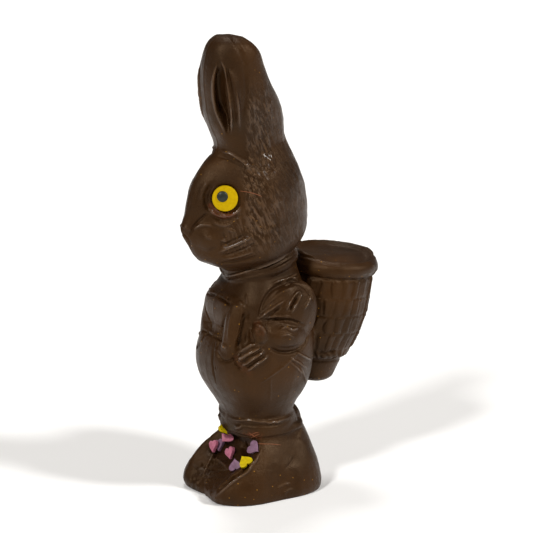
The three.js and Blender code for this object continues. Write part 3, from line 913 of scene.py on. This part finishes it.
def facingMatrix(at, looks, spin=0.0):
    z = Vector(looks).normalized()
    x = Vector((0, 0, 1)).cross(z).normalized()
    y = z.cross(x)
    turn = Matrix((x, y, z)).transposed().to_4x4() @ Matrix.Rotation(math.radians(spin), 4, "Z")
    return Matrix.Translation(at) @ turn


def eyeMatrix(side):
    x, y, z = eyes["at"]
    lookX, lookY, lookZ = eyes["looks"]
    return facingMatrix((x * side, y, z), (lookX * side, lookY, lookZ))


def seenFrom(points, matrix):
    inverse = np.array(matrix.inverted())
    return points @ inverse[:3, :3].T + inverse[:3, 3]


def seenBack(local, matrix):
    forward = np.array(matrix)
    return local @ forward[:3, :3].T + forward[:3, 3]


def pressDown(points, matrix, radius, low, high, floor):
    # what lies within the radius and between low and high, seen from the matrix, goes to the floor
    local = seenFrom(points, matrix)
    across, up = np.hypot(local[:, 0], local[:, 1]), local[:, 2]
    near = (across < radius) & (up > low) & (up < high)
    local[:, 2] = np.where(near, floor, up)
    return np.where(near[:, None], seenBack(local, matrix), points)


def heartMatrix(at, looks, spin):
    return facingMatrix([number * mm for number in at], looks, spin)


def flattenUnderHearts(points):
    # each sprinkle's lump in the copied mesh goes, because the sprinkle is a piece of its own here
    radius = hearts["lumpReach"] * hearts["across"] / 2
    low = -hearts["sink"] - hearts["lumpUnder"]
    for *place, _ in hearts["list"]:
        points = pressDown(points, heartMatrix(*place), radius, low, hearts["lumpTop"], low)
    return points


def clearOfEyes(points):
    # the chocolate stays off the candy discs that are let into it
    radius = eyes["across"] / 2 + eyes["gap"]
    floor = -eyes["thick"] / 2 - eyes["gapUnder"]
    for side in (1, -1):
        points = pressDown(points, eyeMatrix(side), radius, floor, eyes["gapReach"], floor)
    return points


def settle(piece, matrix, name):  # a piece goes into place, and its object stays at the origin
    piece.name = name
    piece.data.name = name
    piece.matrix_world = matrix
    makeActive(piece)
    bpy.ops.object.transform_apply(location=True, rotation=True, scale=True)
    bpy.ops.object.shade_smooth()
    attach(piece, "root")
    return piece


def roundEdges(piece, sizes):
    angle = {"limit_method": "ANGLE", "angle_limit": sizes["sharp"]}
    applyModifier(piece, "BEVEL", width=sizes["edge"], segments=sizes["edgeSteps"], **angle)


def candyDisc(name, matrix):
    deselectAll()
    half = eyes["across"] / 2
    bpy.ops.mesh.primitive_cylinder_add(vertices=eyes["facets"], radius=half, depth=eyes["thick"])
    piece = bpy.context.object
    bpy.ops.object.mode_set(mode="EDIT")
    bpy.ops.mesh.select_all(action="DESELECT")
    bpy.ops.object.mode_set(mode="OBJECT")
    top = max(piece.data.polygons, key=lambda face: face.center.z)
    top.select = True
    bpy.ops.object.mode_set(mode="EDIT")
    bpy.ops.mesh.select_mode(type="FACE")
    # the face is crowned: it rises in steps to the middle, where the pupil is pressed in
    for width, rise in eyes["crown"]:
        bpy.ops.mesh.inset(thickness=width * half, depth=rise * mm)
    bpy.ops.mesh.poke()
    bpy.ops.object.mode_set(mode="OBJECT")
    roundEdges(piece, eyes)
    return settle(piece, matrix, name)


def candyPupil(name, matrix, side):
    deselectAll()
    x, y, z = eyes["pupilShift"]
    around, rings = eyes["pupilFacets"]
    half = eyes["pupilAcross"] / 2
    bpy.ops.mesh.primitive_uv_sphere_add(segments=around, ring_count=rings, radius=half)
    piece = bpy.context.object
    bpy.ops.object.mode_set(mode="EDIT")
    bpy.ops.mesh.select_all(action="SELECT")
    bpy.ops.transform.resize(value=(1, 1, eyes["pupilFlat"]))
    cut = {"plane_co": (0, 0, -eyes["pupilCut"]), "plane_no": (0, 0, 1)}
    bpy.ops.mesh.bisect(**cut, clear_inner=True, use_fill=True)
    bpy.ops.object.mode_set(mode="OBJECT")
    return settle(piece, matrix @ Matrix.Translation((x * side, y, z)), name)


def heartShape():  # one heart, round-edged like a pressed sprinkle
    deselectAll()
    bpy.ops.mesh.primitive_circle_add(vertices=hearts["facets"], radius=1, fill_type="NGON")
    piece = bpy.context.object
    for corner in piece.data.vertices:
        turn = math.atan2(corner.co.x, corner.co.y)
        up = sum(wave * math.cos(times * turn) for times, wave in enumerate(hearts["waves"], 1))
        corner.co.x = math.sin(turn) ** 3 * hearts["across"] / 2
        corner.co.y = (up + hearts["middle"]) / hearts["curveAcross"] * hearts["across"]
    bpy.ops.object.mode_set(mode="EDIT")
    bpy.ops.mesh.select_all(action="SELECT")
    bpy.ops.mesh.extrude_region_move(TRANSFORM_OT_translate={"value": (0, 0, hearts["thick"])})
    bpy.ops.mesh.select_all(action="SELECT")
    bpy.ops.transform.translate(value=(0, 0, -hearts["sink"]))
    bpy.ops.mesh.normals_make_consistent(inside=False)
    bpy.ops.object.mode_set(mode="OBJECT")
    roundEdges(piece, hearts)
    return piece


def buildCandy():
    made = {"eye": [], "pupil": [], "pink": [], "purple": [], "yellow": []}
    for side, label in ((1, "left"), (-1, "right")):
        disc = candyDisc(f"candyEye{label.title()}", eyeMatrix(side))
        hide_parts(f"candy_eye_{label}")
        pupil = candyPupil(f"candyPupil{label.title()}", eyeMatrix(side), side)
        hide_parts(f"candy_pupil_{label}")
        made["eye"].append(disc)
        made["pupil"].append(pupil)
    first = heartShape()
    for number, (*place, colour) in enumerate(hearts["list"], 1):
        makeActive(first)
        bpy.ops.object.duplicate()
        made[colour].append(settle(bpy.context.object, heartMatrix(*place), f"heartSprinkle{number}"))
    bpy.data.objects.remove(first)
    return made


strands = {
    "thick": 0.3 * mm,
    "every": 2,  # a knot at each second spot of a line
    "float": 0.2,  # share of the thickness by which its middle lies off the chocolate
    "ends": 0.45,  # share of the thickness that is left at the ends
    "roundness": 2,
    "steps": 4,  # from knot to knot
    # picture points
    "lines": [
        [(240, 191), (248, 192), (256, 194), (263, 197)],
        [(254, 443), (262, 444), (271, 444), (281, 445)],
        [(250, 436), (254, 433), (260, 432)],
        [(251, 438), (256, 435), (261, 434)],
        [(249, 433), (254, 436), (258, 439)],
        [(253, 438), (255, 442)],
    ],
}


def buildStrands(piece):
    # thin threads that lie on the chocolate beside the eye and under the hem
    surface = Surface(piece)
    made = []
    for number, line in enumerate(strands["lines"], 1):
        hits = [surface.under(x, y) for x, y in rounded(line)[::strands["every"]]]
        spots = [at + normal * strands["float"] * strands["thick"] for at, normal in hits]
        deselectAll()
        bpy.ops.curve.primitive_bezier_curve_add()
        curve = bpy.context.object.data
        curve.bevel_depth = strands["thick"] / 2
        curve.bevel_resolution = strands["roundness"]
        curve.resolution_u = strands["steps"]
        curve.use_fill_caps = True
        knots = curve.splines[0].bezier_points
        knots.add(max(len(spots) - len(knots), 0))
        for knot, spot in zip(knots, spots):
            knot.co = Vector(spot)
            knot.handle_left_type = knot.handle_right_type = "AUTO"
            knot.radius = 1.0
        knots[0].radius = knots[-1].radius = strands["ends"]
        bpy.ops.object.convert(target="MESH")
        made.append(settle(bpy.context.object, Matrix.Identity(4), f"threadStrand{number}"))
    return made


# what the chocolate and candy are made of

finish = {
    # screen colours; deep is painted shade between the hairs, and the last one here is a painted highlight
    # on the raised strokes and the hairs
    "deep": (28, 14, 5),
    "dark": (37, 21, 8),
    "mid": (52, 30, 10),
    "bloom": (78, 54, 28),
    "speck": (176, 122, 36),
    "stain": (80, 39, 20),
    "paintedHighlight": (122, 92, 64),
    # how much of a colour is mixed in
    "bloomShare": 0.15,
    "ridgeHighlightShare": 0.25,
    "hairShadeShare": 0.7,
    "hairHighlightShare": 0.3,
    # patterns: scale, detail and roughness
    "cloud": (40, 4, 0.5),
    "patch": (170, 5, 0.6),
    "grain": (1300, 4, 0.65),
    "hair": (800, 3, 0.6),
    "smear": (900, 3, 0.5),
    "speckScale": 300,
    # where a pattern begins and where it is full
    "midCloud": (0.3, 0.7),
    "bloomPatch": (0.5, 0.75),
    "bloomCloud": (0.35, 0.6),
    "dullPatch": (0.3, 0.7),
    "speckEdge": (0.03, 0.1),
    "speckPick": (0.3, 0.34),
    "speckCloud": (0.42, 0.52),
    "hairEdge": (0.44, 0.6),
    "smearEdge": (0.3, 0.6),
    "comb": math.radians(-22),  # how the fur leans
    "hairStretch": (1.0, 1.0, 0.25),
    # roughness, and how much of it goes on the ridges and the fur
    "gloss": 0.33,
    "dull": 0.5,
    "ridgePolish": 0.14,
    "furPolish": 0.1,
    # a clear coat on the ridges and the hairs
    "ridgeCoat": 0.6,
    "hairCoat": 0.45,
    "coatRoughness": 0.2,
    # bump
    "grainHeight": 1.4,
    "patchHeight": 1.2,
    "speckHeight": 0.8,
    "hairHeight": 7.0,
    "bump": {"Strength": 0.4, "Distance": 0.4 * mm},
    "shine": 0.26,
    "shineColour": (1.0, 0.68, 0.42, 1.0),
}


def speckPattern(wire, place, cloud):  # small dots, a part of them left out and more of them in some places
    cells = {"Vector": place, "Scale": finish["speckScale"], "Randomness": 1.0}
    dots, colours = [wire.node("ShaderNodeTexVoronoi", {}, cells, out=out) for out in (0, 1)]
    pick = wire.node("ShaderNodeSeparateColor", {}, {0: colours})
    kept = pick.above(*finish["speckPick"]) * cloud.above(*finish["speckCloud"])
    return (1 - dots.above(*finish["speckEdge"])) * kept


def hairPattern(wire, place):  # fine streaks that lean with the fur
    turn = {"Vector": place, "Angle": finish["comb"]}
    combed = wire.node("ShaderNodeVectorRotate", {"rotation_type": "X_AXIS"}, turn)
    stretch = {0: combed, 1: finish["hairStretch"]}
    combed = wire.node("ShaderNodeVectorMath", {"operation": "MULTIPLY"}, stretch)
    return wire.noise(combed, *finish["hair"]).above(*finish["hairEdge"])


def chocolateMaterial():
    material, wire, shader = newMaterial("darkChocolate")
    place = wire.node("ShaderNodeTexCoord", out=3)
    raised, furry, stain = wire.layer("raised"), wire.layer("furry"), wire.layer("stained")
    cloud, patch, grain = [wire.noise(place, *finish[name]) for name in ("cloud", "patch", "grain")]
    speck, hair = speckPattern(wire, place, cloud), hairPattern(wire, place)

    tone = wire.mix(cloud.above(*finish["midCloud"]), rgb(*finish["dark"]), rgb(*finish["mid"]))
    dust = patch.above(*finish["bloomPatch"]) * cloud.above(*finish["bloomCloud"]) * finish["bloomShare"]
    smear = stain * wire.noise(place, *finish["smear"]).above(*finish["smearEdge"])
    # bloom dust, specks and stains are the chocolate's own colours; the light colour on the raised strokes
    # and on the hairs is a painted highlight, and deep between the hairs is painted shade
    for amount, colour in (
        (dust, "bloom"),
        (speck, "speck"),
        (raised * finish["ridgeHighlightShare"], "paintedHighlight"),
        (furry * (1 - hair) * finish["hairShadeShare"], "deep"),
        (furry * hair * finish["hairHighlightShare"], "paintedHighlight"),
        (smear, "stain"),
    ):
        tone = wire.mix(amount, tone, rgb(*finish[colour]))
    feed(tone, shader["Base Color"])

    worn = (finish["dull"] - finish["gloss"]) * patch.above(*finish["dullPatch"])
    polish = finish["ridgePolish"] * raised + finish["furPolish"] * furry
    feed(finish["gloss"] + worn - polish, shader["Roughness"])
    feed(raised * finish["ridgeCoat"] + furry * hair * finish["hairCoat"], shader["Coat Weight"])
    shader["Coat Roughness"].default_value = finish["coatRoughness"]
    shader["Specular IOR Level"].default_value = finish["shine"]
    shader["Specular Tint"].default_value = finish["shineColour"]

    height = grain * finish["grainHeight"] + patch * finish["patchHeight"]
    height = height + speck * finish["speckHeight"] + hair * furry * finish["hairHeight"]
    feed(wire.node("ShaderNodeBump", {}, {**finish["bump"], "Height": height}), shader["Normal"])
    return material


sugar = {
    # patterns: scale, detail and roughness
    "cloud": (700, 4, 0.5),
    "cloudEdge": (0.3, 0.7),
    "grain": (2600, 3, 0.5),
    "grainDulls": 0.1,
    "bump": {"Strength": 0.15, "Distance": 0.2 * mm},
    # a material's name, its light and deep screen colours, its roughness and its shine
    "looks": {
        "eye": ("yellowIcing", (190, 157, 0), (178, 145, 0), 0.5, 0.06),
        "pupil": ("greyIcing", (38, 44, 36), (26, 31, 25), 0.36, 0.3),
        "pink": ("pinkSugar", (192, 112, 136), (168, 92, 114), 0.5, 0.4),
        "purple": ("purpleSugar", (136, 102, 126), (116, 84, 104), 0.5, 0.4),
        "strand": ("paleThread", (126, 70, 36), (126, 70, 36), 0.5, 0.4),
        "yellow": ("yellowSugar", (200, 177, 2), (180, 156, 1), 0.5, 0.1),
    },
}


def candyMaterial(name, light, deep, roughness, shine):
    material, wire, shader = newMaterial(name)
    place = wire.node("ShaderNodeTexCoord", out=3)
    cloud = wire.noise(place, *sugar["cloud"])
    grain = wire.noise(place, *sugar["grain"])
    feed(wire.mix(cloud.above(*sugar["cloudEdge"]), rgb(*deep), rgb(*light)), shader["Base Color"])
    feed(wire.node("ShaderNodeBump", {}, {**sugar["bump"], "Height": grain}), shader["Normal"])
    feed(roughness + sugar["grainDulls"] * grain, shader["Roughness"])
    shader["Specular IOR Level"].default_value = shine
    return material


studio = {
    "world": 0.13,
    "worldColour": (1.0, 0.9, 0.8, 1),
    "lampColour": (1.0, 0.99, 0.97),
    "floorAcross": 12,
    "floor": {"Base Color": (0.97, 0.97, 0.97, 1), "Roughness": 0.9, "Specular IOR Level": 0.1},
    # degrees round from the rabbit's front, degrees up, degrees across, strength
    "lights": {
        "leftSoftbox": (24, 42, 9, 1.8),
        "rightSoftbox": (128, 40, 9, 2.1),
        "topSoftbox": (250, 68, 16, 1.05),
    },
}


def buildStage():
    bpy.ops.mesh.primitive_plane_add(size=studio["floorAcross"], location=(0, 0, 0))
    floor = bpy.context.object
    floor.name = "paleFloor"
    material, _, shader = newMaterial("paleFloor")
    for name, value in studio["floor"].items():
        shader[name].default_value = value
    floor.data.materials.append(material)
    world = bpy.data.worlds.new("studio")
    bpy.context.scene.world = world
    world.use_nodes = True
    background = world.node_tree.nodes["Background"].inputs
    background[0].default_value = studio["worldColour"]
    background[1].default_value = studio["world"]
    bpy.context.scene.view_settings.view_transform = "Standard"
    for name, (around, up, across, strength) in studio["lights"].items():
        around, up = math.radians(around), math.radians(up)
        way = Vector((math.sin(around) * math.cos(up), -math.cos(around) * math.cos(up), math.sin(up)))
        bpy.ops.object.light_add(type="SUN", location=way)
        light = bpy.context.object
        light.name = name
        light.data.angle = math.radians(across)
        light.data.energy = strength
        light.data.color = studio["lampColour"]
        light.rotation_euler = way.to_track_quat("Z", "Y").to_euler()


placeCamera()
body = buildChocolate()
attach(body, "root")
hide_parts("chocolate_rabbit")
body.data.materials.append(chocolateMaterial())
print("chocolate made:", len(body.data.polygons), "faces")

candy = buildCandy()
candy["strand"] = buildStrands(body)
for kind, pieces in candy.items():
    look = candyMaterial(*sugar["looks"][kind])
    for piece in pieces:
        piece.data.materials.append(look)
print("candy made:", sum(len(pieces) for pieces in candy.values()), "pieces")

buildStage()
print("stage made")
